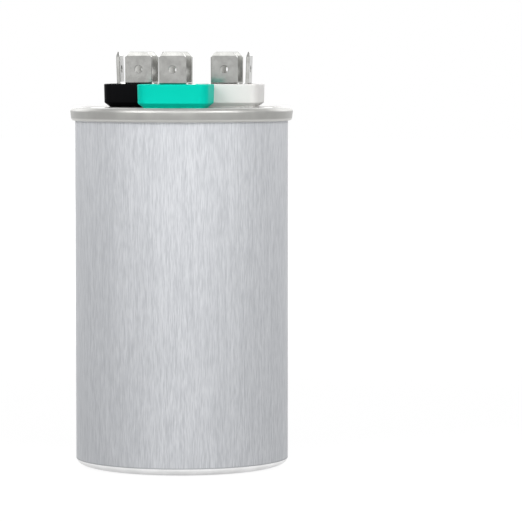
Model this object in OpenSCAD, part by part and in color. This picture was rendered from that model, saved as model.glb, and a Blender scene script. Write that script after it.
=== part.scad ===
// Dual motor run capacitor: a drawn round can closed by a double-seamed lid, with three
// riveted quick-connect terminals on moulded blocks and a two-section film winding inside.
// Millimetres. The origin is the centre of the flat base, +Z runs up the can's axis, and
// the fan terminal stands on the -Y side.

/* [Can] */
// Outside diameter of the drawn can wall
can_d = 50; // [49.5:0.5:64]
// Height from the flat base to the top of the seam
can_h = 85; // [60:1:140]
// Thickness of the can's sheet
can_wall = 0.4; // [0.3:0.05:0.6]
// Outer radius of the corner between wall and base
base_corner_r = 1.8; // [1:0.1:3]

/* [Lid and double seam] */
// Thickness of the lid's sheet
lid_t = 0.4; // [0.3:0.05:0.6]
// Height of the double seam
seam_h = 3.2; // [2.8:0.1:4.5]
// Gap between the rolled layers of the seam
seam_gap = 0.03; // [0.01:0.01:0.06]
// Clear width of the groove inside the seam
groove_w = 2.2; // [1.2:0.1:2.4]
// Depth of that groove below the seam's top
groove_depth = 3; // [2.6:0.1:5]
// How far the central panel lies below the seam's top
panel_drop = 0.1; // [0:0.1:0.6]
// Inner radius of the bend at the panel's edge
panel_bend_r = 0.4; // [0.2:0.1:0.6]

/* [Wrap film] */
// Thickness of the wrap film
film_t = 0.1; // [0.05:0.01:0.3]
// Gap between film and can
film_gap = 0.02; // [0.01:0.01:0.05]
// Bare strip between the base corner and the film
film_low_margin = 0.1; // [0:0.1:3]
// Bare strip between the film and the seam
film_top_margin = 0.1; // [0.1:0.1:3]
// How far the film laps over its own end at the back
film_lap = 6; // [3:0.5:12]

/* [Terminal blocks] */
// Width of a moulded block
block_w = 16.8; // [14.8:0.1:17]
// Depth of a moulded block
block_d = 14; // [13.2:0.1:14.4]
// Height of a moulded block
block_h = 5.5; // [4:0.1:9]
// Radius of a block's upright corners
block_r = 2.5; // [2:0.1:3.5]
// Chamfer along a block's lower edge
block_foot = 1.1; // [0.4:0.1:1.8]
// Chamfer along a block's upper edge
block_edge = 0.3; // [0.1:0.1:0.6]
// Gap between the two rear blocks
pair_gap = 3.6; // [3:0.1:4]
// Gap between the rear blocks and the front block
row_gap = 0.5; // [0.2:0.1:1]
// How far the rear pair sits behind the can's axis
row_y = 4.9; // [3:0.1:5]
// Clearance round the terminal plate in its pocket
pocket_gap = 0.3; // [0.1:0.05:0.6]

/* [Quick-connect tabs] */
// Width of a tab
tab_w = 6.35; // [4.8:0.05:6.4]
// Thickness of the terminal's brass strip
tab_t = 0.8; // [0.5:0.05:1]
// Height of a tab's tip above its block
tab_h = 7.6; // [6:0.1:12]
// Distance of a tab's middle plane from its terminal's centre
tab_reach = 5.15; // [5:0.05:5.4]
// Inner radius of the bend at a tab's root
tab_bend_r = 0.5; // [0.3:0.05:0.7]
// Outward lean of a tab in degrees
tab_lean = 2; // [0:0.5:4]
// Diameter of the detent hole in a tab
tab_hole_d = 1.75; // [1.2:0.05:2.2]
// Distance of the detent hole below the tip
tab_hole_drop = 4.1; // [3:0.1:4.8]
// Corner cut at a tab's tip
tab_corner = 1.2; // [0.6:0.1:1.8]
// Length of the bevel that thins a tab's tip
tab_bevel = 0.9; // [0.4:0.1:1.4]
// Thickness left at the very tip
tab_tip_t = 0.35; // [0.2:0.05:0.45]
// Radius of the terminal plate's corners
plate_r = 1; // [0.4:0.1:1.4]

/* [Rivets and gaskets] */
// Diameter of a rivet's shank
rivet_d = 3; // [2:0.1:3.6]
// Diameter of a rivet's domed head
rivet_head_d = 6; // [5:0.1:7]
// Height of a rivet's domed head
rivet_head_h = 1.1; // [0.6:0.1:1.6]
// Diameter of a rivet's upset tail
rivet_tail_d = 5.2; // [4.6:0.1:7]
// Thickness of a rivet's upset tail
rivet_tail_h = 0.8; // [0.4:0.1:1.2]
// Clearance round a rivet's shank
rivet_gap = 0.05; // [0.02:0.01:0.2]
// Diameter of a gasket's flange below the lid
gasket_d = 10; // [9:0.1:12]
// Thickness of a gasket's flange
gasket_t = 1.2; // [0.8:0.1:1.6]
// Wall of the gasket's collar in the lid's hole
collar_wall = 1.2; // [0.6:0.1:1.6]
// Clearance round the collar in the lid's hole
collar_gap = 0.1; // [0.05:0.05:0.3]

/* [Winding] */
// Wall thickness of the insulating liner cup
liner_t = 0.8; // [0.5:0.1:1.4]
// Thickness of the liner cup's floor
liner_floor = 1.4; // [1.2:0.1:3]
// Clearance between the liner cup and the can
liner_gap = 0.2; // [0.1:0.05:0.5]
// Clearance between the winding and the liner cup
winding_gap = 0.2; // [0.1:0.05:0.6]
// Outside diameter of the fan section
fan_section_d = 27; // [23:0.5:32]
// Thickness of the barrier wrap between the sections
barrier_t = 0.6; // [0.3:0.1:1]
// Clearance between one wound layer and the next
layer_gap = 0.05; // [0.02:0.01:0.1]
// Outside diameter of the core tube
core_d = 8.4; // [6:0.1:10]
// Wall of the core tube
core_wall = 1; // [0.6:0.1:1.5]
// Thickness of the metal sprayed on the winding's ends
spray_t = 0.8; // [0.4:0.1:1.2]
// Space between the winding's upper end and the interrupter disc
headroom = 8.6; // [6:0.2:16]

/* [Interrupter and leads] */
// Thickness of the interrupter disc
disc_t = 1.5; // [1:0.1:2.4]
// Height of the disc's spacer rim
disc_rim_h = 1.5; // [1.2:0.1:3]
// Wall of the disc's spacer rim
disc_rim_wall = 1.6; // [1:0.1:2]
// Clearance between the disc and what it touches
disc_gap = 0.05; // [0.02:0.01:0.1]
// Diameter of the oil holes in the disc
oil_hole_d = 3; // [2:0.1:4]
// Diameter of the tinned lead wires
lead_d = 1.3; // [0.8:0.1:1.6]
// Clearance round a lead in the disc
lead_gap = 0.35; // [0.2:0.05:0.6]
// Straight length of a lead above its foot
lead_foot = 1.6; // [1:0.1:3]

/* [Hidden] */
$fn = 96;
SOFT_FN = 32;
CUT = 1;

// Double seam, from the can's wall outwards
can_r = can_d / 2;
can_bore_r = can_r - can_wall;
hook_slot = lid_t + 2 * seam_gap;
can_bend_r = hook_slot / 2;
seam_mid_r = can_r + can_bend_r;
lid_bend_r = can_bend_r + can_wall + seam_gap;
seam_r = seam_mid_r + lid_bend_r + lid_t;
seam_mid_z = can_h - lid_bend_r - lid_t;
curl_bend_r = can_wall / 2 + seam_gap;
curl_mid_r = seam_r - lid_t - curl_bend_r;
curl_mid_z = can_h - seam_h + curl_bend_r + lid_t;

// Lid inside the seam
chuck_r = can_bore_r - seam_gap - lid_t;
groove_mid_r = chuck_r - groove_w / 2;
groove_mid_z = can_h - groove_depth + groove_w / 2;
groove_under_z = can_h - groove_depth - lid_t;
panel_r = chuck_r - groove_w - lid_t - panel_bend_r;
panel_z = can_h - panel_drop;

// Wrap film
film_r = can_r + film_gap;
film_z = base_corner_r + film_low_margin;
film_top_z = can_h - seam_h - film_top_margin;

// Terminal places on the lid, and which sides of each plate carry a tab
COMMON = [-(block_w + pair_gap) / 2, row_y];
HERM = [(block_w + pair_gap) / 2, row_y];
FAN = [0, row_y - block_d - row_gap];
RIGHT = 0;
REAR = 90;
LEFT = 180;
FRONT = 270;
COMMON_TABS = [RIGHT, REAR, LEFT, FRONT];
HERM_TABS = [RIGHT, REAR, FRONT];
FAN_TABS = [REAR, FRONT];

// Stack through each terminal
block_top_z = panel_z + block_h;
plate_half = tab_reach - tab_t / 2 - tab_bend_r;
plate_z = block_top_z - tab_t;
pocket_half = tab_reach + tab_t / 2 + pocket_gap;
gasket_z = panel_z - lid_t - gasket_t;
tail_z = gasket_z - rivet_tail_h;
rivet_hole_d = rivet_d + 2 * rivet_gap;
collar_d = rivet_hole_d + 2 * collar_wall;
lid_hole_d = collar_d + 2 * collar_gap;
blade_l = (tab_h - tab_bend_r) / cos(tab_lean);

// Inside the can
disc_rim_top_z = groove_under_z - disc_gap;
disc_z = disc_rim_top_z - disc_rim_h - disc_t;
disc_r = can_bore_r - liner_gap;
liner_r = can_bore_r - liner_gap;
liner_bore_r = liner_r - liner_t;
liner_top_z = disc_z - disc_gap;
spray_z = can_wall + liner_floor;
winding_z = spray_z + spray_t;
winding_top_z = disc_z - headroom - spray_t;
winding_h = winding_top_z - winding_z;
winding_r = liner_bore_r - winding_gap;
core_r = core_d / 2;
fan_section_r = fan_section_d / 2;
barrier_r = fan_section_r + layer_gap;
herm_bore_r = barrier_r + barrier_t + layer_gap;
oil_hole_r = disc_r - disc_rim_wall - oil_hole_d;

CAN_METAL = [0.80, 0.81, 0.81];
LID_METAL = [0.78, 0.78, 0.76];
FILM_SILVER = [0.74, 0.76, 0.79];
BLACK = [0.06, 0.06, 0.07];
TEAL = [0.05, 0.86, 0.78];
WHITE = [0.91, 0.91, 0.89];
TINNED = [0.72, 0.72, 0.70];
RUBBER = [0.20, 0.20, 0.21];
PHENOLIC = [0.55, 0.33, 0.18];
LINER = [0.86, 0.87, 0.84];
WOUND = [0.83, 0.84, 0.86];
ZINC = [0.60, 0.61, 0.62];

// A wedge of the plane, wide enough to cover a ring of the outer radius r
module wedge(r, from, sweep) {
    polygon(concat([[0, 0]], [for (i = [0:4]) 2 * r * [cos(from + sweep * i / 4),
                                                       sin(from + sweep * i / 4)]]));
}

// Section of a sheet t thick bent round the point mid, from one angle through sweep
module bend(mid, r_in, t, from, sweep) {
    translate(mid) intersection() {
        difference() {
            circle(r = r_in + t);
            circle(r = r_in);
        }
        wedge(r_in + t, from, sweep);
    }
}

// Section of an upright sheet whose inner face is at radius r
module upright(r, t, z0, z1) {
    translate([r, z0]) square([t, z1 - z0]);
}

// A ring with square edges
module ring(r_out, r_in, z, h) {
    translate([0, 0, z]) difference() {
        cylinder(r = r_out, h = h);
        translate([0, 0, -CUT]) cylinder(r = r_in, h = h + 2 * CUT);
    }
}

// The drawn can: flat base, round corner, wall, and the body hook rolled down at the top
module can() {
    color(CAN_METAL) rotate_extrude() {
        square([can_r - base_corner_r, can_wall]);
        bend([can_r - base_corner_r, base_corner_r], base_corner_r - can_wall, can_wall, 270, 90);
        upright(can_bore_r, can_wall, base_corner_r, seam_mid_z);
        bend([seam_mid_r, seam_mid_z], can_bend_r, can_wall, 0, 180);
        upright(seam_mid_r + can_bend_r, can_wall, curl_mid_z + seam_gap, seam_mid_z);
    }
}

// The lid: raised panel, groove, chuck wall, and the outer wall curled up into the cover hook
module lid() {
    color(LID_METAL) difference() {
        rotate_extrude() {
            translate([0, panel_z - lid_t]) square([panel_r, lid_t]);
            bend([panel_r, panel_z - lid_t - panel_bend_r], panel_bend_r, lid_t, 0, 90);
            upright(panel_r + panel_bend_r, lid_t, groove_mid_z, panel_z - lid_t - panel_bend_r);
            bend([groove_mid_r, groove_mid_z], groove_w / 2, lid_t, 180, 180);
            upright(chuck_r, lid_t, groove_mid_z, seam_mid_z);
            bend([seam_mid_r, seam_mid_z], lid_bend_r, lid_t, 0, 180);
            upright(seam_r - lid_t, lid_t, curl_mid_z, seam_mid_z);
            bend([curl_mid_r, curl_mid_z], curl_bend_r, lid_t, 180, 180);
            upright(can_r + seam_gap, lid_t, curl_mid_z, seam_mid_z - seam_gap);
        }
        for (place = [COMMON, FAN, HERM])
            translate([place.x, place.y, panel_z - lid_t - CUT])
                cylinder(d = lid_hole_d, h = lid_t + 2 * CUT);
    }
}

// The film wrapped round the can, with its free end lapped over at the back
module wrap_film() {
    lap_angle = film_lap / film_r * 180 / PI;
    color(FILM_SILVER) translate([0, 0, film_z]) linear_extrude(film_top_z - film_z) {
        difference() {
            circle(r = film_r + film_t);
            circle(r = film_r);
        }
        bend([0, 0], film_r, 2 * film_t, 90 - lap_angle / 2, lap_angle);
    }
}

// A moulded block with round corners, a chamfered foot, and a pocket for the terminal plate
module block(place, shade) {
    x = block_w / 2 - block_r;
    y = block_d / 2 - block_r;
    color(shade) translate([place.x, place.y, panel_z]) difference() {
        hull() for (sx = [-1, 1], sy = [-1, 1]) translate([sx * x, sy * y, 0]) {
            cylinder(r1 = block_r - block_foot, r2 = block_r, h = block_foot, $fn = SOFT_FN);
            translate([0, 0, block_h - block_edge])
                cylinder(r1 = block_r, r2 = block_r - block_edge, h = block_edge, $fn = SOFT_FN);
        }
        translate([-pocket_half, -pocket_half, block_h - tab_t])
            cube([2 * pocket_half, 2 * pocket_half, tab_t + CUT]);
        translate([0, 0, -CUT]) cylinder(d = rivet_hole_d, h = block_h + 2 * CUT);
    }
}

// The upright blade of one tab, with its tip bevelled, its corners cut and its detent hole
module blade() {
    side = (tab_t - tab_tip_t) / 2;
    difference() {
        intersection() {
            rotate([90, 0, 0]) linear_extrude(tab_w, center = true)
                polygon([[0, 0], [tab_t, 0], [tab_t, blade_l - tab_bevel],
                         [tab_t - side, blade_l], [side, blade_l], [0, blade_l - tab_bevel]]);
            rotate([90, 0, 90]) linear_extrude(tab_t)
                polygon([[-tab_w / 2, 0], [tab_w / 2, 0], [tab_w / 2, blade_l - tab_corner],
                         [tab_w / 2 - tab_corner, blade_l], [tab_corner - tab_w / 2, blade_l],
                         [-tab_w / 2, blade_l - tab_corner]]);
        }
        translate([-CUT, 0, blade_l - tab_hole_drop]) rotate([0, 90, 0])
            cylinder(d = tab_hole_d, h = tab_t + 2 * CUT);
    }
}

// One tab on the plate's +X side: the bend out of the plate and the blade that leans outwards
module tab() {
    rotate([90, 0, 0]) linear_extrude(tab_w, center = true) {
        square([plate_half, tab_t]);
        bend([plate_half, tab_t + tab_bend_r], tab_bend_r, tab_t, 270, 90 - tab_lean);
    }
    translate([plate_half, 0, tab_t + tab_bend_r]) rotate([0, tab_lean, 0])
        translate([tab_bend_r, 0, 0]) blade();
}

// A terminal: square brass plate, riveted in the middle, with a tab bent up on each named side
module terminal(place, sides) {
    inset = plate_half - plate_r;
    color(TINNED) translate([place.x, place.y, plate_z]) difference() {
        union() {
            translate([-plate_half, -inset, 0]) cube([2 * plate_half, 2 * inset, tab_t]);
            translate([-inset, -plate_half, 0]) cube([2 * inset, 2 * plate_half, tab_t]);
            for (sx = [-1, 1], sy = [-1, 1]) translate([sx * inset, sy * inset, 0])
                cylinder(r = plate_r, h = tab_t);
            for (side = sides) rotate([0, 0, side]) tab();
        }
        translate([0, 0, -CUT]) cylinder(d = rivet_hole_d, h = tab_t + 2 * CUT);
    }
}

// A rivet from its domed head on the plate, down through block, lid and gasket, to its tail
module rivet(place) {
    dome_r = (pow(rivet_head_d / 2, 2) + pow(rivet_head_h, 2)) / (2 * rivet_head_h);
    color(TINNED) translate([place.x, place.y, 0]) rotate_extrude() {
        translate([0, block_top_z]) intersection() {
            translate([0, rivet_head_h - dome_r]) circle(r = dome_r);
            square([rivet_head_d / 2, rivet_head_h]);
        }
        upright(0, rivet_d / 2, tail_z, block_top_z);
        upright(0, rivet_tail_d / 2, tail_z, gasket_z);
    }
}

// A gasket: flange under the lid and a collar that keeps the rivet off the lid's hole
module gasket(place) {
    color(RUBBER) translate([place.x, place.y, 0]) {
        ring(gasket_d / 2, rivet_hole_d / 2, gasket_z, gasket_t);
        ring(collar_d / 2, rivet_hole_d / 2, gasket_z, gasket_t + lid_t);
    }
}

// The interrupter disc: a spacer rim under the lid's groove, lead holes and oil holes
module interrupter_disc() {
    color(PHENOLIC) {
        ring(disc_r, disc_r - disc_rim_wall, disc_z, disc_t + disc_rim_h);
        translate([0, 0, disc_z]) difference() {
            cylinder(r = disc_r - disc_rim_wall / 2, h = disc_t);
            for (place = [COMMON, FAN, HERM])
                translate([place.x, place.y, -CUT])
                    cylinder(d = lead_d + 2 * lead_gap, h = disc_t + 2 * CUT);
            for (turn = [30:60:330]) rotate([0, 0, turn])
                translate([oil_hole_r, 0, -CUT]) cylinder(d = oil_hole_d, h = disc_t + 2 * CUT);
        }
    }
}

// The insulating cup between winding and can, up to the disc that it carries
module liner_cup() {
    color(LINER) rotate_extrude() difference() {
        union() {
            translate([0, can_wall]) square([liner_r - base_corner_r, base_corner_r]);
            translate([liner_r - base_corner_r, can_wall + base_corner_r]) circle(r = base_corner_r);
            upright(0, liner_r, can_wall + base_corner_r, liner_top_z);
        }
        upright(0, liner_bore_r, spray_z, liner_top_z + CUT);
    }
}

// The moulded tube that the film is wound on
module core_tube() {
    color(LINER) ring(core_r, core_r - core_wall, winding_z, winding_h);
}

// The inner section of the winding, for the fan motor
module fan_winding() {
    color(WOUND) ring(fan_section_r, core_r + layer_gap, winding_z, winding_h);
}

// The wrap that parts the two sections
module section_barrier() {
    color(LINER) ring(barrier_r + barrier_t, barrier_r, winding_z, winding_h);
}

// The outer section of the winding, for the hermetic compressor
module herm_winding() {
    color(WOUND) ring(winding_r, herm_bore_r, winding_z, winding_h);
}

// The sprayed metal that joins both sections at the bottom
module common_end_spray() {
    color(ZINC) translate([0, 0, spray_z]) cylinder(r = winding_r, h = spray_t);
}

// The sprayed metal on the fan section's upper end
module fan_end_spray() {
    color(ZINC) ring(fan_section_r, core_r, winding_top_z, spray_t);
}

// The sprayed metal on the hermetic section's upper end
module herm_end_spray() {
    color(ZINC) ring(winding_r, herm_bore_r, winding_top_z, spray_t);
}

// A round wire swept along points that lie in one upright plane, whose normal is across
module wire(points, across) {
    sides = 12;
    last = len(points) - 1;
    corners = [for (i = [0:last], k = [0:sides - 1])
               let (step = points[min(i + 1, last)] - points[max(i - 1, 0)],
                    out = cross(across, step / norm(step)))
               points[i] + lead_d / 2 * (cos(360 * k / sides) * out + sin(360 * k / sides) * across)];
    walls = [for (i = [0:last - 1], k = [0:sides - 1])
             let (a = i * sides + k, b = i * sides + (k + 1) % sides)
             each [[a, b, b + sides], [a, b + sides, a + sides]]];
    polyhedron(corners, concat([[for (k = [sides - 1:-1:0]) k]], walls,
                               [[for (k = [0:sides - 1]) last * sides + k]]));
}

// A lead from a rivet's tail straight through the disc, then across to its foot and down to z
module lead(place, foot, z) {
    top = disc_z - disc_gap;
    low = winding_top_z + spray_t + lead_foot;
    steps = 10;
    shift = foot - place;
    sway = [for (i = [0:steps]) let (s = (1 - cos(180 * i / steps)) / 2)
            [place.x + shift.x * s, place.y + shift.y * s, top + (low - top) * i / steps]];
    color(TINNED) wire(concat([[place.x, place.y, tail_z]], sway, [[foot.x, foot.y, z]]),
                       [-shift.y, shift.x, 0] / norm(shift));
}

// The point at radius r in the direction of a place on the lid
function outward(place, r) = place * r / norm(place);

module common_block() { block(COMMON, BLACK); }
module fan_block() { block(FAN, TEAL); }
module herm_block() { block(HERM, WHITE); }
module common_terminal() { terminal(COMMON, COMMON_TABS); }
module fan_terminal() { terminal(FAN, FAN_TABS); }
module herm_terminal() { terminal(HERM, HERM_TABS); }
module common_rivet() { rivet(COMMON); }
module fan_rivet() { rivet(FAN); }
module herm_rivet() { rivet(HERM); }
module common_gasket() { gasket(COMMON); }
module fan_gasket() { gasket(FAN); }
module herm_gasket() { gasket(HERM); }
module common_lead() { lead(COMMON, [0, 0], winding_z); }
module fan_lead() { lead(FAN, outward(FAN, (core_r + fan_section_r) / 2), winding_top_z + spray_t); }
module herm_lead() { lead(HERM, outward(HERM, (herm_bore_r + winding_r) / 2), winding_top_z + spray_t); }

can();
lid();
wrap_film();
common_block();
fan_block();
herm_block();
common_terminal();
fan_terminal();
herm_terminal();
common_rivet();
fan_rivet();
herm_rivet();
common_gasket();
fan_gasket();
herm_gasket();
interrupter_disc();
liner_cup();
core_tube();
fan_winding();
section_barrier();
herm_winding();
common_end_spray();
fan_end_spray();
herm_end_spray();
common_lead();
fan_lead();
herm_lead();
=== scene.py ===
"""Looks of the round dual run capacitor: its can, seamed lid, wrap film, blocks and tabs.

Everything is in metres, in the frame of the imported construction. Sizes come from the boxes of
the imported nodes; the few that a box can't tell are named below in the maker's millimetres.
"""
from functools import cached_property

import bmesh
import bpy
import numpy as np
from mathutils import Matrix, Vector


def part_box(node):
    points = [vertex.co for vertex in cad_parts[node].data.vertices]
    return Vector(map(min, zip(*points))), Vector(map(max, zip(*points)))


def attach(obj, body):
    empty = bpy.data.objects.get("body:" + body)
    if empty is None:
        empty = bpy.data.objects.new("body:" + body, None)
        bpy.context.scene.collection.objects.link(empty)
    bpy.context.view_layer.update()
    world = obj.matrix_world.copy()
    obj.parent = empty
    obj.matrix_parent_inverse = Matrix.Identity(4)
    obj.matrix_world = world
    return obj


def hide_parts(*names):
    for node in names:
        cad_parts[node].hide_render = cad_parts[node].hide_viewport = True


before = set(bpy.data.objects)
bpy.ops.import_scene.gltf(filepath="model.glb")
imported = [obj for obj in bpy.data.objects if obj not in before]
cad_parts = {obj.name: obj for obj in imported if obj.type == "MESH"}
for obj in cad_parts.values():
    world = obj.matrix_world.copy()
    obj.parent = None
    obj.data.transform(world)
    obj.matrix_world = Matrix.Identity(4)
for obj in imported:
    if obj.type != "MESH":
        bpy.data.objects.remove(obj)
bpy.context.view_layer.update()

MM = 1e-3
ROOT = "root"

# Sheet metal of the can and the lid, and the film
SHEET = 0.4 * MM
SEAM_GAP = 0.03 * MM
BASE_CORNER_H = 1.8 * MM
BASE_CORNER_W = 4.8 * MM
GROOVE_W = 2.2 * MM
GROOVE_DEPTH = 3.0 * MM
PANEL_DROP = 0.1 * MM
PANEL_BEND_R = 0.4 * MM
SEAM_H = 3.2 * MM
FILM_T = 0.1 * MM
FILM_LAP = 6.0 * MM
FILM_RAMP = 1.6 * MM
FILM_SAG = 0.012 * MM
FILM_SAG_REACH = 1.5 * MM
# Painted shade: heights over the film's lower edge across which its colour rises from a darker grey to
# its own
FILM_EDGE_SHADE_FROM, FILM_EDGE_SHADE_TO = 0.06 * MM, 0.36 * MM
COLLAR_HOLE_R = 2.85 * MM
CAN_STEP = 4 * MM
LID_STEP = 2 * MM

# How the seam's wall draws in below its full part, and the waves that the rolls leave
SEAM_FULL = 1.5 * MM
SEAM_DRAW_REACH = 1.3 * MM
SEAM_DRAW = 0.2 * MM
SEAM_WAVE = 0.01 * MM

# The painted highlight on the lip at the seam's foot: its top over the seam's lower end, its fade, its
# gain
LIP_HIGHLIGHT_TOP = 0.75 * MM
LIP_HIGHLIGHT_FADE = 0.45 * MM
LIP_HIGHLIGHT_GAIN = 1.75

# Moulded blocks
BLOCK_R = 2.5 * MM
BLOCK_FOOT = 1.1 * MM
BLOCK_EDGE = 0.3 * MM
BLOCK_DRAFT = 0.12 * MM
BLOCK_SOFT = 0.35 * MM
BLOCK_LEAST_CORNER = 0.6 * MM
POCKET_GAP = 0.3 * MM
POCKET_CORNER = 0.4 * MM
POCKET_EDGE = 0.15 * MM
POCKET_FLOOR_R = 0.25 * MM

# Rivets
RIVET_HOLE_R = 1.55 * MM
RIVET_PLAY = 0.05 * MM
RIVET_TAIL_R = 2.6 * MM
RIVET_EDGE = 0.15 * MM
DIMPLE_DEPTH = 0.12 * MM
DIMPLE_SPREAD = 0.9 * MM

# Strip terminals
TAB_W = 6.35 * MM
TAB_T = 0.8 * MM
TAB_H = 7.6 * MM
TAB_REACH = 5.15 * MM
TAB_BEND_R = 0.5 * MM
TAB_LEAN = np.radians(2.0)
TAB_HOLE_R = 0.875 * MM
TAB_HOLE_LIP = 0.14 * MM
TAB_HOLE_DROP = 4.1 * MM
TAB_CORNER = 1.2 * MM
TAB_BEVEL = 0.9 * MM
TAB_TIP_T = 0.35 * MM
TAB_TIP_CLOSE = 0.06 * MM
TAB_EDGE_R = 0.12 * MM
TAB_ROOT = 0.9 * MM
CRISP = 0.03 * MM
BEVEL_ROWS = np.array([0.66, 0.4])
TIP_ROWS = np.array([0.12, 0.06, 0.02, 0]) * MM
TIP_NARROWING, TIP_THINNING = 1.5, 2.2
PLATE_R = 1.0 * MM
PLATE_HALF = TAB_REACH - TAB_T / 2 - TAB_BEND_R
BLADE = (TAB_H - TAB_BEND_R) / np.cos(TAB_LEAN)
RIGHT, REAR, LEFT, FRONT = 0.0, 90.0, 180.0, 270.0
TABS = {"common": (RIGHT, REAR, LEFT, FRONT), "herm": (RIGHT, REAR, FRONT), "fan": (REAR, FRONT)}

# Camera: its place round the can, and what it looks at
VIEW_AZIMUTH = np.radians(8.0)
VIEW_DISTANCE = 790 * MM
VIEW_HEIGHT = 97.6 * MM
AIM_RIGHT = 18.75 * MM
AIM_HEIGHT = 48.45 * MM
SENSOR = 36.0
LENS = 230.3

# Studio: the light that the sky and the floor give, and the floor's half size
SKY_LIGHT = 0.10
FLOOR_GLOW = 0.90
FLOOR_GLOW_RISE = 0.12
# Painted shade: how far the floor's glow is dimmed in reflections where it lies under the can, and the
# radii of that patch
FLOOR_MIRROR_PAINTED_SHADE = 0.3
FLOOR_UNDER_CAN = (0.021, 0.029)
FLOOR_OPEN = (0.15, 0.6)
FLOOR_HALF = 3.0


# ---------------------------------------------------------------- curves and surfaces

def eased(whole, s):
    """The whole times a smooth step from 0 to 1: s * s * (3 - 2 * s) for s from 0 to 1."""
    return whole * s * s * (3 - 2 * s)


def arc(centre, r, start, end, n=8):
    """Points at r * (cos a, sin a) from the centre, for n + 1 angles a from start to end in degrees."""
    a = np.radians(np.linspace(start, end, n + 1))
    return np.stack([centre[0] + r * np.cos(a), centre[1] + r * np.sin(a)], axis=1)


def path(*pieces):
    """One run of points from arcs and corners, without points that repeat the one before."""
    points = np.concatenate([np.atleast_2d(np.asarray(p, float)) for p in pieces])
    step = np.linalg.norm(np.diff(points, axis=0), axis=1)
    return points[np.concatenate([[True], step > 1e-9])]


def spaced(points, step):
    """The same run of points with extra ones, so that no stretch is longer than step."""
    out = [points[:1]]
    for a, b in zip(points[:-1], points[1:]):
        n = max(1, int(np.ceil(np.linalg.norm(b - a) / step)))
        out.append(a + (b - a) * np.arange(1, n + 1)[:, None] / n)
    return np.concatenate(out)


def sheet_outline(centre_line, t):
    """The closed outline of a sheet t thick: the centre line moved by t / 2 along its normal,
    one way out and the other way back, with a half-round lip at each free end."""
    along = np.gradient(centre_line, axis=0)
    along /= np.linalg.norm(along, axis=1)[:, None]
    normal = np.stack([-along[:, 1], along[:, 0]], axis=1)

    def lip(i, sign):
        a = np.radians(np.linspace(90, -90, 7))[1:-1, None]
        return centre_line[i] + t / 2 * (np.sin(a) * normal[i] * sign + np.cos(a) * along[i] * sign)

    return np.concatenate([centre_line + t / 2 * normal, lip(-1, 1),
                           (centre_line - t / 2 * normal)[::-1], lip(0, -1)])


def grid_faces(rows, cols, close_rows, close_cols):
    """Quads between neighbours of a rows x cols grid of points, wrapped where it closes."""
    r, c = np.meshgrid(np.arange(rows - (not close_rows)), np.arange(cols - (not close_cols)),
                       indexing="ij")
    r1, c1 = (r + 1) % rows, (c + 1) % cols
    return np.stack([r * cols + c, r * cols + c1, r1 * cols + c1, r1 * cols + c], -1).reshape(-1, 4)


def grid(points, close_rows=False, close_cols=True):
    """A surface through points[row, column], as vertices and quads."""
    rows, cols = points.shape[:2]
    return points.reshape(-1, 3), grid_faces(rows, cols, close_rows, close_cols)


def lathe(outline, turns=192, wobble=None):
    """A profile (r, z) turned about Z: x = r cos t, y = r sin t. The wobble, if any, is a
    function of t and z that is added to r where the profile is off the axis."""
    t = np.linspace(0, 2 * np.pi, turns, endpoint=False)[None, :]
    r, z = outline[:, :1], outline[:, 1:] + 0 * t
    if wobble is not None:
        r = r + wobble(t, z) * (r > SHEET)
    return grid(np.stack([r * np.cos(t), r * np.sin(t), z], axis=-1), close_rows=True)


def rounded(hx, hy, r, corner=8):
    """A rectangle of half sizes hx, hy whose corners are arcs of radius r; hx = hy = r is a circle."""
    a = np.radians(np.linspace(0, 90, corner + 1))
    x, y = hx - r + r * np.cos(a), hy - r + r * np.sin(a)
    return np.concatenate([np.stack([x, y], 1), np.stack([-x, y], 1)[::-1],
                           np.stack([-x, -y], 1), np.stack([x, -y], 1)[::-1]])


def held(section, margin=0.04 * MM):
    """A rounded rectangle with a point added near both ends of each straight side, so that the
    shading of its arcs doesn't spread over the flats."""
    out = []
    arcs = np.stack(np.split(section, 4))
    for arc_points, after in zip(arcs, np.roll(arcs, -1, 0)):
        a, b = arc_points[-1], after[0]
        share = min(margin / np.linalg.norm(b - a), 0.3)
        out += [arc_points, [a + (b - a) * share, b - (b - a) * share]]
    return np.concatenate(out)


def stack_of(sections, centre, corner=8):
    """A closed skin through rounded rectangles (hx, hy, r, z), one row of points for each."""
    rows = [np.column_stack([rounded(hx, hy, r, corner) + centre, np.full(4 * (corner + 1), z)])
            for hx, hy, r, z in sections]
    return grid(np.stack(rows), close_rows=True)


def turned(points, degrees, centre):
    """Points turned about the upright line through the centre."""
    a = np.radians(degrees)
    spin = np.array([[np.cos(a), np.sin(a), 0], [-np.sin(a), np.cos(a), 0], [0, 0, 1]])
    return points @ spin + np.array([*centre, 0.0])


# ---------------------------------------------------------------- objects

def new_object(name, vertices, faces):
    """An object in the scene from vertices and faces, its doubles merged and its faces outwards."""
    mesh = bpy.data.meshes.new(name)
    mesh.from_pydata(vertices.tolist(), [], faces.tolist())
    obj = bpy.data.objects.new(name, mesh)
    bpy.context.scene.collection.objects.link(obj)
    work = bmesh.new()
    work.from_mesh(mesh)
    bmesh.ops.remove_doubles(work, verts=work.verts, dist=1e-7)
    bmesh.ops.dissolve_degenerate(work, edges=work.edges, dist=1e-8)
    bmesh.ops.recalc_face_normals(work, faces=work.faces)
    work.to_mesh(mesh)
    work.free()
    return obj


def tidy_mesh(mesh, distance=1e-6):
    """Closes up the slivers that a cut leaves where faces nearly meet."""
    work = bmesh.new()
    work.from_mesh(mesh)
    bmesh.ops.remove_doubles(work, verts=work.verts, dist=distance)
    bmesh.ops.dissolve_degenerate(work, edges=work.edges, dist=distance)
    work.to_mesh(mesh)
    work.free()


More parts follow.
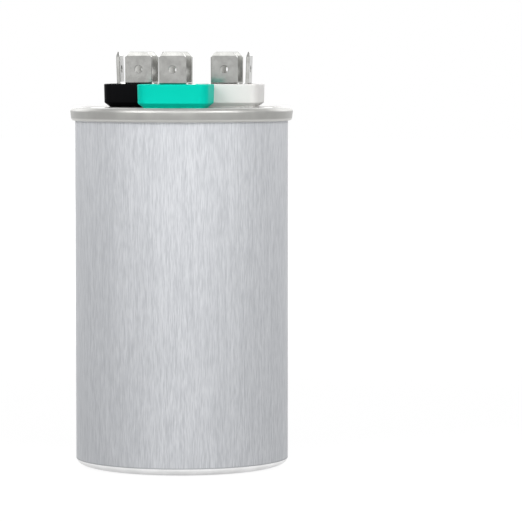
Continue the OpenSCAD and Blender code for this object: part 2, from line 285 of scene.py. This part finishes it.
def boolean(obj, other, operation):
    """Joins another closed shape to the object, or cuts it away, and drops the other one."""
    step = obj.modifiers.new(operation, "BOOLEAN")
    step.operation = operation
    step.solver = "EXACT"
    step.object = other
    graph = bpy.context.evaluated_depsgraph_get()
    result = bpy.data.meshes.new_from_object(obj.evaluated_get(graph))
    obj.modifiers.clear()
    tidy_mesh(result)
    obj.data = result
    bpy.data.objects.remove(other)


def finish_piece(obj, material, replaced, sharp=32.0):
    """Shades a piece smooth up to the sharp angle, gives it its material, hangs it on the root and
    hides the construction part that it replaces.
    """
    for polygon in obj.data.polygons:
        polygon.use_smooth = True
    obj.data.set_sharp_from_angle(angle=np.radians(sharp))
    obj.data.materials.clear()
    obj.data.materials.append(material)
    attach(obj, ROOT)
    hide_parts(replaced)
    return obj


# ---------------------------------------------------------------- shader expressions

class Wire:
    """A number that flows from a node's socket; an operator on it adds a Math node."""

    def __init__(self, shade, socket):
        self.shade, self.socket = shade, socket

    def _math(self, operation, *values):
        return self.shade.add("ShaderNodeMath", {"operation": operation}, dict(enumerate(values)))

    def __add__(self, other):
        return self._math("ADD", self, other)

    def __radd__(self, other):
        return self._math("ADD", other, self)

    def __sub__(self, other):
        return self._math("SUBTRACT", self, other)

    def __rsub__(self, other):
        return self._math("SUBTRACT", other, self)

    def __mul__(self, other):
        return self._math("MULTIPLY", self, other)

    def __rmul__(self, other):
        return self._math("MULTIPLY", other, self)

    def most(self, other):
        """The larger of the two."""
        return self._math("MAXIMUM", self, other)

    def step(self, low, high):
        """0 below low, 1 above high, and a smooth rise between them."""
        return self.shade.add("ShaderNodeMapRange", {"interpolation_type": "SMOOTHSTEP"},
                              {"Value": self, "From Min": low, "From Max": high})


class Shade:
    """The node tree of a material or of the world. Every node comes from add."""

    MIX_FACTOR, MIX_A, MIX_B, MIX_RESULT = 0, 6, 7, 2

    def __init__(self, owner):
        owner.use_nodes = True
        self.owner, self.tree = owner, owner.node_tree
        self.tree.nodes.clear()

    @cached_property
    def where(self):
        """Object coordinates."""
        return self.add("ShaderNodeTexCoord", out="Object")

    @cached_property
    def height(self):
        """How high a point is, from the Z of its object coordinates."""
        return self.add("ShaderNodeSeparateXYZ", inputs={"Vector": self.where}, out="Z")

    def put(self, socket, value):
        """Links a wire to a socket, or sets the socket to a number, vector or colour."""
        if isinstance(value, Wire):
            self.tree.links.new(value.socket, socket)
        elif isinstance(value, tuple) and len(value) == 3 and socket.type == "RGBA":
            socket.default_value = (*value, 1.0)
        else:
            socket.default_value = value

    def add(self, kind, settings=None, inputs=None, out=0):
        """A node of a kind: its settings first, then its sockets, by name or place."""
        node = self.tree.nodes.new(kind)
        for key, value in (settings or {}).items():
            setattr(node, key, value)
        for key, value in (inputs or {}).items():
            self.put(node.inputs[key], value)
        return Wire(self, node.outputs[out]) if node.outputs else None

    def scaled(self, x, y, z, tilt=(0, 0, 0)):
        """Object coordinates turned by small angles and stretched by a factor each way."""
        return self.add("ShaderNodeMapping", inputs={"Vector": self.where, "Rotation": tilt,
                                                     "Scale": (x, y, z)})

    def noise(self, scale, detail=3.0, roughness=0.55, vector=None):
        """A noise from 0 to 1 over the object, or over a stretched vector."""
        return self.add("ShaderNodeTexNoise", inputs={
            "Vector": vector or self.where, "Scale": scale, "Detail": detail,
            "Roughness": roughness})

    def mix(self, factor, a, b):
        """Colour a where the factor is 0 and colour b where it is 1."""
        return self.add("ShaderNodeMix", {"data_type": "RGBA"},
                        {self.MIX_FACTOR: factor, self.MIX_A: a, self.MIX_B: b}, self.MIX_RESULT)

    def bump(self, height, distance, strength):
        """A bump for a Normal socket."""
        return self.add("ShaderNodeBump", inputs={"Height": height, "Distance": distance,
                                                  "Strength": strength})

    def seen(self):
        """1 for rays from the camera and for those it follows in mirrors and glass, else 0."""
        camera, mirror, glass = (self.add("ShaderNodeLightPath", out=f"Is {kind} Ray")
                                 for kind in ("Camera", "Glossy", "Transmission"))
        return camera.most(mirror).most(glass)

    def show(self, shader, output="ShaderNodeOutputMaterial"):
        """Ends the tree in a shader, and gives back the material or world."""
        self.add(output, inputs={"Surface": shader})
        return self.owner

    def surface(self, **sockets):
        """Ends the tree in a Principled shader; a socket's name has _ for each space."""
        inputs = {key.replace("_", " "): value for key, value in sockets.items()}
        return self.show(self.add("ShaderNodeBsdfPrincipled", inputs=inputs))


def finish_of(name):
    """The empty tree of a new material."""
    return Shade(bpy.data.materials.new(name))


def tint(colour, factor):
    """A colour made darker or lighter."""
    return tuple(min(1.0, c * factor) for c in colour)


# ---------------------------------------------------------------- finishes

def brushed_film():
    """Silver film with an upright brushed grain: short hairlines crossing at a slight slant, over
    longer strokes and soft clouds, and a band of painted shade along its lower edge."""
    s = finish_of("brushed_silver_film")
    hair = s.noise(5200, 2.0, 0.6, s.scaled(1, 1, 0.07, (0.03, 0.03, 0)))
    slant = s.noise(4300, 2.0, 0.6, s.scaled(1, 1, 0.06, (-0.04, -0.035, 0)))
    stroke = s.noise(1500, 3.0, 0.6, s.scaled(1, 1, 0.03))
    cloud = s.noise(130, 2.0, 0.5, s.scaled(1, 1, 0.35))
    grain = hair * 0.4 + slant * 0.35 + stroke * 0.25
    worn = grain.step(0.36, 0.64) * (0.55 + 0.9 * cloud)
    colour = s.mix(worn, (0.535, 0.550, 0.578), (0.722, 0.735, 0.762))
    # Painted shade: the film is darker along its lower edge, standing in for the shadow at its foot
    above = s.height.step(film_low[2] + FILM_EDGE_SHADE_FROM, film_low[2] + FILM_EDGE_SHADE_TO)
    colour = s.mix(above, (0.45, 0.46, 0.48), colour)
    return s.surface(Base_Color=colour, Metallic=0.2, Roughness=0.42 + 0.16 * grain,
                     Specular_IOR_Level=0.2, Normal=s.bump(grain, 0.012 * MM, 0.5))


def drawn_aluminium(name, colour, metallic, grain_height, lip=None):
    """Satin aluminium: fine grain, faint drawing lines round the axis, and soft mottling. Below
    the height lip, if there is one, the sheet is painted brighter: a painted highlight for the light
    that the seam's lower curl catches from below."""
    s = finish_of(name)
    mottle = s.noise(220, 3.0)
    grain = s.noise(2400, 2.0, 0.6)
    lines = s.noise(1900, 2.0, 0.5, s.scaled(0.06, 0.06, 1.0))
    base = s.mix(mottle.step(0.35, 0.7), tint(colour, 0.93), tint(colour, 1.04))
    if lip is not None:
        # Painted highlight: the lid is lighter below the height lip, for the light that the seam's curl
        # catches from the floor
        base = s.mix(s.height.step(lip - LIP_HIGHLIGHT_FADE, lip), tint(colour, LIP_HIGHLIGHT_GAIN), base)
    height = grain * 0.4 + lines * 0.6
    return s.surface(Base_Color=base, Metallic=metallic, Roughness=0.3 + 0.16 * mottle,
                     Normal=s.bump(height, grain_height, 0.5))


def moulded_plastic(name, colour, specular):
    """Moulded plastic: a faint eggshell skin, slow sink marks and fine handling scuffs."""
    s = finish_of(name)
    skin = s.noise(3200, 2.0)
    sink = s.noise(170, 1.0)
    scuff = s.noise(1300, 2.0, 0.7, s.scaled(1, 1, 0.2)).step(0.62, 0.78)
    base = s.mix(scuff * 0.25, s.mix(sink, tint(colour, 0.97), tint(colour, 1.03)),
                 tint(colour, 1.12))
    height = skin * 0.3 + sink * 2.0
    return s.surface(Base_Color=base, Roughness=0.42 + 0.12 * skin + 0.1 * scuff,
                     Specular_IOR_Level=specular, Normal=s.bump(height, 0.012 * MM, 0.5))


def tinned_strip():
    """Tin-plated brass: cloudy bright metal with rolling lines and small scratches."""
    s = finish_of("tinned_brass")
    cloud = s.noise(420, 4.0, 0.65)
    line = s.noise(2600, 2.0, 0.6, s.scaled(0.35, 0.35, 1.0))
    scratch = s.noise(900, 3.0, 0.8, s.scaled(1.0, 0.3, 2.2)).step(0.6, 0.72)
    base = s.mix(cloud.step(0.3, 0.7), (0.31, 0.31, 0.298), (0.385, 0.385, 0.372))
    base = s.mix(scratch * 0.2, base, (0.56, 0.56, 0.55))
    return s.surface(Base_Color=base, Metallic=1.0, Roughness=0.16 + 0.08 * cloud,
                     Normal=s.bump(line * 0.6 + cloud * 0.3, 0.004 * MM, 0.4))


def plain_inner(name, colour, roughness, scale, height, metallic=0.0, stretch=(1, 1, 1)):
    """A hidden piece's finish: two tones of one colour over a noise that also lifts the skin."""
    s = finish_of(name)
    grain = s.noise(scale, 3.0, 0.6, s.scaled(*stretch))
    base = s.mix(grain.step(0.3, 0.7), tint(colour, 0.88), tint(colour, 1.08))
    return s.surface(Base_Color=base, Metallic=metallic, Roughness=roughness + 0.15 * grain,
                     Normal=s.bump(grain, height, 0.7))


# ---------------------------------------------------------------- sizes from the frame

lid_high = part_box("lid")[1]
film_low, film_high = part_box("wrap_film")
SEAM_R = lid_high[0]
CAN_H = lid_high[2]
CAN_R = SEAM_R - 3 * SHEET - 3 * SEAM_GAP
HOOK_BEND_R = SHEET / 2 + SEAM_GAP
SEAM_MID_R = CAN_R + HOOK_BEND_R
LID_BEND_R = HOOK_BEND_R + SHEET + SEAM_GAP
SEAM_MID_Z = CAN_H - LID_BEND_R - SHEET
CURL_MID_R = SEAM_R - SHEET - HOOK_BEND_R
CURL_MID_Z = CAN_H - SEAM_H + HOOK_BEND_R + SHEET
CHUCK_R = CAN_R - 2 * SHEET - SEAM_GAP
PANEL_Z = CAN_H - PANEL_DROP
PANEL_R = CHUCK_R - GROOVE_W - SHEET - PANEL_BEND_R
GROOVE_MID = (CHUCK_R - GROOVE_W / 2, CAN_H - GROOVE_DEPTH + GROOVE_W / 2)


def centre_of(node):
    """The middle of a node's box, seen from above."""
    low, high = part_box(node)
    return np.array([(low[0] + high[0]) / 2, (low[1] + high[1]) / 2])


def seam_shape(t, z):
    """How far the seam's layers stand inside their true radius: the wall is full near the crest
    and draws in towards the curl by a smooth step s * s * (3 - 2 * s) of z, and the rolls leave
    a few slow waves round the rim, none at its top."""
    down = np.clip((CAN_H - z) / SEAM_H, 0, 1)
    wave = 0.5 * np.sin(5 * t + 0.4) + 0.3 * np.sin(11 * t + 2.0) + 0.2 * np.sin(23 * t + 1.1)
    drawn_in = eased(SEAM_DRAW, np.clip((CAN_H - SEAM_FULL - z) / SEAM_DRAW_REACH, 0, 1))
    return -drawn_in * (1 + 0.1 * wave) - SEAM_WAVE * (1 + wave) * down


# ---------------------------------------------------------------- pieces

def turned_sheet(line, step, wobble=None):
    """The sheet along a centre line (r, z), with points a step apart at most, turned about Z."""
    outline = sheet_outline(spaced(line, step), SHEET)
    outline[:, 0] = np.maximum(outline[:, 0], 0)
    return lathe(outline, wobble=wobble)


def build_can(material):
    """The can's sheet: base, corner, wall and body hook, as one turned outline. The corner is a
    quarter of an ellipse, (r / w)^2 + (z / h)^2 = 1, so the base draws in further than it rises."""
    half = SHEET / 2
    corner = arc((0, 0), 1, -90, 0, 20) * (BASE_CORNER_W - half, BASE_CORNER_H - half)
    line = path((0, half), corner + (CAN_R - BASE_CORNER_W, BASE_CORNER_H),
                (CAN_R - half, SEAM_MID_Z),
                arc((SEAM_MID_R, SEAM_MID_Z), HOOK_BEND_R + half, 180, 0, 12),
                (SEAM_MID_R + HOOK_BEND_R + half, CURL_MID_Z + SEAM_GAP + half))
    can = new_object("can_shell", *turned_sheet(line, CAN_STEP))
    return finish_piece(can, material, "can")


def build_lid(material):
    """The lid's sheet: panel, groove, chuck wall, seam wall and cover hook, with rivet holes."""
    half = SHEET / 2
    line = path((0, PANEL_Z - half), (PANEL_R, PANEL_Z - half),
                arc((PANEL_R, PANEL_Z - SHEET - PANEL_BEND_R), PANEL_BEND_R + half, 90, 0, 8),
                arc(GROOVE_MID, GROOVE_W / 2 + half, 180, 360, 20),
                arc((SEAM_MID_R, SEAM_MID_Z), LID_BEND_R + half, 180, 0, 20),
                arc((CURL_MID_R, CURL_MID_Z), HOOK_BEND_R + half, 0, -180, 14),
                (CAN_R + SEAM_GAP + half, SEAM_MID_Z - SEAM_GAP - half))
    lid = new_object("lid_shell", *turned_sheet(line, LID_STEP, seam_shape))
    for name in TABS:
        x, y = centre_of(f"{name}_rivet")
        hole = path((0, PANEL_Z - 2 * SHEET), (COLLAR_HOLE_R, PANEL_Z - 2 * SHEET),
                    (COLLAR_HOLE_R, PANEL_Z + SHEET), (0, PANEL_Z + SHEET))
        vertices, faces = lathe(hole, turns=48)
        boolean(lid, new_object("hole", vertices + np.array([x, y, 0]), faces), "DIFFERENCE")
    return finish_piece(lid, material, "lid")


def build_film(material):
    """The film as a strip wound once and a lap round the can: r grows by one thickness, on a
    smooth ramp, where the free end climbs over the strip's start at the back."""
    inner_r = film_high[0] - FILM_T
    lap = FILM_LAP / inner_r
    ramp = FILM_RAMP / inner_r
    start = np.pi / 2 - lap / 2
    turn = np.concatenate([np.linspace(0, 2 * np.pi - 2 * ramp, 240),
                           np.linspace(2 * np.pi - 2 * ramp, 2 * np.pi + lap, 60)[1:]])
    rise = np.clip((turn - (2 * np.pi - 1.5 * ramp)) / ramp, 0, 1)
    r = inner_r + eased(FILM_T, rise)
    heights = np.linspace(film_low[2], film_high[2], 60)
    edge = np.array([0.0, 0.04, 0.12]) * MM
    z = np.concatenate([film_low[2] + edge, heights[1:-1], film_high[2] - edge[::-1]])
    sag = FILM_SAG * np.sin(9 * turn)[None, :] * np.exp(-(z - z[0]) / FILM_SAG_REACH)[:, None]

    def side(offset):
        radius = r[None, :] + offset + np.minimum(sag, 0) * 0.5
        a = start + turn[None, :]
        return np.stack([radius * np.cos(a), radius * np.sin(a), z[:, None] + 0 * a], axis=-1)

    outer, inner = side(FILM_T), side(0.0)
    skin = np.concatenate([outer, inner[::-1]])
    vertices, faces = grid(skin, close_rows=True, close_cols=False)
    rows, cols = skin.shape[:2]
    n = rows // 2
    k = np.arange(n - 1)
    ends = [np.stack([(rows - 1 - k) * cols + c, (rows - 2 - k) * cols + c,
                      (k + 1) * cols + c, k * cols + c], axis=1) for c in (0, cols - 1)]
    faces = np.concatenate([faces, *ends])
    return finish_piece(new_object("wrap_film_skin", vertices, faces), material,
                        "wrap_film")


def block_sections(hx, hy, low, high, pocket):
    """Rounded rectangles from the rivet hole under the foot, out, up the drafted side, over the
    top edge, down into the pocket and back to the hole."""
    soft, lip = BLOCK_SOFT, BLOCK_EDGE

    def outer(inset, z):
        widen = BLOCK_DRAFT * ((z - low) / (high - low) - 1)
        return (hx - inset + widen, hy - inset + widen, max(BLOCK_R - inset, BLOCK_LEAST_CORNER), z)

    def inner(half, z):
        return (half, half, POCKET_CORNER, z)

    foot = arc((soft, low + soft), soft, 270, 225, 4)[:, 1] - low
    foot_in = arc((0, 0), soft, 270, 225, 4)[:, 0]
    knee = arc((0, 0), soft, 225, 180, 4)
    quarter = np.radians(np.linspace(0, 90, 4))
    rows = [(RIVET_HOLE_R, RIVET_HOLE_R, RIVET_HOLE_R, low), outer(BLOCK_FOOT + 3 * soft, low)]
    rows += [outer(BLOCK_FOOT + 0.4 * soft + x, low + z) for x, z in zip(-foot_in - soft * 0.6, foot)]
    rows += [outer(soft + x, low + BLOCK_FOOT + 0.4 * soft + z) for x, z in knee]
    rows += [outer(0, z) for z in np.linspace(low + BLOCK_FOOT + soft, high - lip, 5)[1:]]
    rows += [outer(lip - lip * np.cos(a), high - lip + lip * np.sin(a))
             for a in np.radians(np.linspace(0, 90, 6))[1:]]
    rows += [inner(pocket + POCKET_EDGE * (1 - np.sin(a)), high - POCKET_EDGE * (1 - np.cos(a)))
             for a in quarter]
    rows += [inner(pocket - POCKET_FLOOR_R * (1 - np.cos(a)),
                   high - TAB_T + POCKET_FLOOR_R * (1 - np.sin(a))) for a in quarter]
    rows += [(RIVET_HOLE_R, RIVET_HOLE_R, RIVET_HOLE_R, high - TAB_T)]
    return rows


def build_block(name, material):
    """A moulded block: outline sections lofted round its chamfered foot, sides and pocket."""
    node = f"{name}_block"
    low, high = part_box(node)
    pocket = TAB_REACH + TAB_T / 2 + POCKET_GAP
    sections = block_sections((high[0] - low[0]) / 2, (high[1] - low[1]) / 2, low[2], high[2],
                              pocket)
    block = new_object(f"{node}_moulding", *stack_of(sections, centre_of(node), corner=12))
    return finish_piece(block, material, node, sharp=40)


def tab_skin():
    """One tab on the +X side: a section with round edges, w wide and t thick, carried along the
    plate, round the bend and up the leaning blade. Near the tip w loses 2 per unit of length
    for the cut corners, and t falls to the tip's thickness for the bevel."""
    mid_r = TAB_BEND_R + TAB_T / 2
    bend_end = 90 - np.degrees(TAB_LEAN)
    bend = arc((PLATE_HALF, TAB_T + TAB_BEND_R), mid_r, 270, 270 + bend_end, 14)
    turn = np.radians(np.linspace(0, bend_end, 15))
    up = np.concatenate([np.linspace(0, BLADE - TAB_CORNER - CRISP, 6)[1:],
                         BLADE - TAB_CORNER + np.array([0, CRISP]),
                         BLADE - TAB_BEVEL + np.array([-CRISP, 0, CRISP]),
                         BLADE - BEVEL_ROWS * TAB_BEVEL,
                         BLADE - TIP_ROWS])
    assert (np.diff(up) > 0).all(), "the blade's rows have to rise"
    direction = np.array([np.sin(TAB_LEAN), np.cos(TAB_LEAN)])
    line = np.concatenate([[[PLATE_HALF - TAB_ROOT, TAB_T / 2]], bend,
                           bend[-1] + up[up > 0, None] * direction])
    angle = np.concatenate([[0], turn, np.full((up > 0).sum(), turn[-1])])
    reach = np.concatenate([np.zeros(16), up[up > 0]])
    w = TAB_W - 2 * np.maximum(0, reach - (BLADE - TAB_CORNER))
    t = TAB_T - (TAB_T - TAB_TIP_T) * np.clip((reach - (BLADE - TAB_BEVEL)) / TAB_BEVEL, 0, 1)
    close = np.maximum(0, reach - (BLADE - TAB_TIP_CLOSE))
    w, t = w - TIP_NARROWING * close, t - TIP_THINNING * close
    rows = []
    for (x, z), a, wide, thick in zip(line, angle, w, t):
        section = held(rounded(thick / 2, wide / 2, min(TAB_EDGE_R, 0.3 * thick), 3))
        rows.append(np.column_stack([x - section[:, 0] * np.sin(a), section[:, 1],
                                     z + section[:, 0] * np.cos(a)]))
    rows = np.stack(rows)
    start, end = rows[:1].mean(axis=1, keepdims=True), rows[-1:].mean(axis=1, keepdims=True)
    n = rows.shape[1]
    return grid(np.concatenate([np.repeat(start, n, 1), rows, np.repeat(end, n, 1)]))


def hole_cutter():
    """A cutter for the detent hole: a rod with flared ends, so the hole's edges come out round.
    The flare leaves its arc at 45 degrees, so that it crosses the blade's face at a sharp edge."""
    lip, half = TAB_HOLE_LIP, TAB_T / 2
    low = arc((TAB_HOLE_R + lip, -half + lip), lip, 225, 180, 5)
    past = 0.1 * MM
    flare = low[0] + (low[0, 1] + half + past) * np.array([1, -1])
    low = path((flare[0], -2 * half), flare, low)
    side = path((0, -2 * half), low, (low * (1, -1))[::-1], (0, 2 * half))
    points, faces = lathe(side, turns=40)
    across = np.stack([points[:, 2], points[:, 1], -points[:, 0]], axis=1)
    across[:, 0] += TAB_BEND_R + half
    across[:, 2] += BLADE - TAB_HOLE_DROP
    c, s = np.cos(TAB_LEAN), np.sin(TAB_LEAN)
    lean = np.array([[c, 0, -s], [0, 1, 0], [s, 0, c]])
    return across @ lean + np.array([PLATE_HALF, 0, TAB_T + TAB_BEND_R]), faces


def build_terminal(name, material):
    """A strip terminal: round-edged plate with its rivet hole, joined to its upright tabs."""
    node = f"{name}_terminal"
    centre = centre_of(f"{name}_rivet")
    bottom = np.array([0, 0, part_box(node)[0][2]])
    e = TAB_EDGE_R
    sections = [(RIVET_HOLE_R, RIVET_HOLE_R, RIVET_HOLE_R, 0.0),
                (RIVET_HOLE_R, RIVET_HOLE_R, RIVET_HOLE_R, TAB_T),
                (PLATE_HALF - e, PLATE_HALF - e, PLATE_R, TAB_T)]
    for start, sign, angles in ((TAB_T - e, 1, (60, 30, 0)), (e, -1, (0, 30, 60, 90))):
        for a in np.radians(angles):
            out = PLATE_HALF - e + e * np.cos(a)
            sections.append((out, out, PLATE_R, start + sign * e * np.sin(a)))
    points, faces = stack_of(sections, (0.0, 0.0), corner=8)
    terminal = new_object(f"{node}_stamping", turned(points, 0, centre) + bottom, faces)
    tab_points, tab_faces = tab_skin()
    cut_points, cut_faces = hole_cutter()
    for side in TABS[name]:
        tab = new_object("tab", turned(tab_points, side, centre) + bottom, tab_faces)
        cutter = new_object("cutter", turned(cut_points, side, centre) + bottom, cut_faces)
        boolean(tab, cutter, "DIFFERENCE")
        boolean(terminal, tab, "UNION")
    return finish_piece(terminal, material, node, sharp=38)


def build_rivet(name, material):
    """A rivet: domed head with a shallow setting dimple, shank, and an upset tail."""
    node = f"{name}_rivet"
    low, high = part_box(node)
    x, y = centre_of(node)
    plate_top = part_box(f"{name}_block")[1][2]
    head_r = (high[0] - low[0]) / 2
    gasket_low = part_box(f"{name}_gasket")[0][2]
    h = high[2] - plate_top
    dome_r = (head_r ** 2 + h ** 2) / (2 * h)
    r = head_r * np.linspace(0, 1, 14)[::-1]
    dome = np.column_stack([r, plate_top + h - dome_r + np.sqrt(dome_r ** 2 - r ** 2)])
    dome[:, 1] -= DIMPLE_DEPTH * np.exp(-(dome[:, 0] / DIMPLE_SPREAD) ** 2)
    shank_r = RIVET_HOLE_R - RIVET_PLAY
    tail_r = RIVET_TAIL_R - RIVET_EDGE
    side = path((0, low[2]), (tail_r, low[2]),
                arc((tail_r, low[2] + RIVET_EDGE), RIVET_EDGE, 270, 360, 4),
                (tail_r, gasket_low), (shank_r, gasket_low), (shank_r, plate_top),
                (head_r - RIVET_EDGE, plate_top), dome)
    vertices, faces = lathe(side, turns=72)
    rivet = new_object(f"{node}_part", vertices + np.array([x, y, 0]), faces)
    return finish_piece(rivet, material, node)


# ---------------------------------------------------------------- studio

def floor_and_sky():
    """White ground and sky for the camera and for reflections, with a painted contact shadow in the
    reflected ground under the can; a plain pale floor for light.
    """
    s = finish_of("white_floor")
    far = s.add("ShaderNodeVectorMath", {"operation": "LENGTH"}, {0: s.where}, out="Value")
    mirrored = s.add("ShaderNodeLightPath", out="Is Glossy Ray")
    # Painted shade: in reflections the floor's glow is dimmed under the can, a painted contact shadow
    # at the can's foot
    floor_painted_shade = 1.0 - mirrored * FLOOR_MIRROR_PAINTED_SHADE * (1.0 - far.step(*FLOOR_UNDER_CAN))
    glow = s.add("ShaderNodeEmission", inputs={
        "Color": (1.0, 1.0, 1.0),
        "Strength": (FLOOR_GLOW + FLOOR_GLOW_RISE * far.step(*FLOOR_OPEN)) * floor_painted_shade})
    shadowed = s.add("ShaderNodeBsdfDiffuse", inputs={"Color": (0.14, 0.14, 0.14)})
    bright = s.add("ShaderNodeAddShader", inputs={0: shadowed, 1: glow})
    pale = s.add("ShaderNodeBsdfDiffuse", inputs={
        "Color": s.mix(s.noise(60, 2.0), (0.16, 0.16, 0.16), (0.20, 0.20, 0.20))})
    mixed = s.add("ShaderNodeMixShader", inputs={0: s.seen(), 1: pale, 2: bright})
    corners = np.array([[-1, -1, 0], [1, -1, 0], [1, 1, 0], [-1, 1, 0]]) * FLOOR_HALF
    floor = new_object("floor", corners, np.array([[0, 1, 2, 3]]))
    floor.data.materials.append(s.show(mixed))

    s = Shade(bpy.data.worlds.new("pale_sky"))
    level = s.add("ShaderNodeMapRange", inputs={"Value": s.seen(), "To Min": SKY_LIGHT,
                                                "To Max": 1.0})
    sky = s.add("ShaderNodeBackground", inputs={"Color": (1.0, 1.0, 1.0), "Strength": level})
    bpy.context.scene.world = s.show(sky, "ShaderNodeOutputWorld")


def lamp(name, azimuth, distance, height, size, power, target=(0, 0, 0.05)):
    """A square soft lamp at an azimuth round the can, seen from above, that faces the target."""
    data = bpy.data.lights.new(name, "AREA")
    data.shape = "SQUARE"
    data.size = size
    data.energy = power
    obj = bpy.data.objects.new(name, data)
    a = np.radians(azimuth)
    place = Vector((distance * np.sin(a), -distance * np.cos(a), height))
    obj.location = place
    obj.rotation_euler = (Vector(target) - place).to_track_quat("-Z", "Y").to_euler()
    bpy.context.scene.collection.objects.link(obj)


def light_the_studio():
    """A large soft front lamp, a near pair for the upper wall, and three round the back."""
    lamp("front", 8, 1.0, 0.60, 1.1, 5.7)
    lamp("near_left", -36, 0.24, 0.21, 0.15, 0.34, (0, 0, 0.08))
    lamp("near_right", 52, 0.24, 0.21, 0.15, 0.34, (0, 0, 0.08))
    lamp("back", 188, 1.2, 0.6, 1.0, 5.0)
    lamp("rear_left", 233, 1.4, 0.6, 0.8, 4.8)
    lamp("rear_right", 143, 1.4, 0.6, 0.8, 4.8)


def place_camera():
    """The camera stands at the azimuth, distance and height above, and looks past the can."""
    data = bpy.data.cameras.new("camera")
    data.lens = LENS
    data.sensor_width = SENSOR
    camera = bpy.data.objects.new("camera", data)
    right = Vector((np.cos(VIEW_AZIMUTH), np.sin(VIEW_AZIMUTH), 0))
    back = Vector((np.sin(VIEW_AZIMUTH), -np.cos(VIEW_AZIMUTH), 0))
    camera.location = back * VIEW_DISTANCE + Vector((0, 0, VIEW_HEIGHT))
    aim = right * AIM_RIGHT + Vector((0, 0, AIM_HEIGHT))
    camera.rotation_euler = (aim - camera.location).to_track_quat("-Z", "Y").to_euler()
    bpy.context.scene.collection.objects.link(camera)
    bpy.context.scene.camera = camera


# ---------------------------------------------------------------- the whole

def dress_inner_nodes():
    """Gives each hidden node of the construction the finish of its real material."""
    board = plain_inner("pressed_board", (0.36, 0.2, 0.1), 0.6, 900, 0.03 * MM)
    liner = plain_inner("liner_polymer", (0.78, 0.79, 0.75), 0.4, 500, 0.01 * MM)
    wound = plain_inner("wound_film", (0.66, 0.67, 0.7), 0.22, 1500, 0.006 * MM, 0.8, (0.1, 0.1, 1))
    zinc = plain_inner("sprayed_zinc", (0.42, 0.43, 0.44), 0.6, 2600, 0.05 * MM, 0.9)
    rubber = plain_inner("gasket_rubber", (0.03, 0.03, 0.032), 0.55, 2000, 0.01 * MM)
    wire = plain_inner("tinned_wire", (0.6, 0.6, 0.58), 0.25, 1400, 0.01 * MM, 1.0, (1, 1, 0.2))
    finish = {"interrupter_disc": board, "liner_cup": liner, "core_tube": liner,
              "section_barrier": liner, "fan_winding": wound, "herm_winding": wound,
              "common_end_spray": zinc, "fan_end_spray": zinc, "herm_end_spray": zinc}
    for name in TABS:
        finish[f"{name}_gasket"] = rubber
        finish[f"{name}_lead"] = wire
    for node, material in finish.items():
        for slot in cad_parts[node].material_slots:
            slot.material = material


scene = bpy.context.scene
scene.view_settings.view_transform = "Standard"
place_camera()
floor_and_sky()
light_the_studio()

tin = tinned_strip()
build_can(drawn_aluminium("can_aluminium", (0.94, 0.94, 0.94), 0.8, 0.012 * MM))
build_lid(drawn_aluminium("lid_aluminium", (0.36, 0.358, 0.344), 0.7, 0.014 * MM,
                          CAN_H - SEAM_H + LIP_HIGHLIGHT_TOP))
build_film(brushed_film())
for name, word, colour, specular in (("common", "black", (0.003, 0.003, 0.0035), 0.03),
                                     ("fan", "teal", (0.001, 0.64, 0.49), 0.05),
                                     ("herm", "white", (0.80, 0.79, 0.775), 0.25)):
    build_block(name, moulded_plastic(f"{word}_moulding", colour, specular))
for terminal in TABS:
    build_terminal(terminal, tin)
    build_rivet(terminal, tin)
dress_inner_nodes()
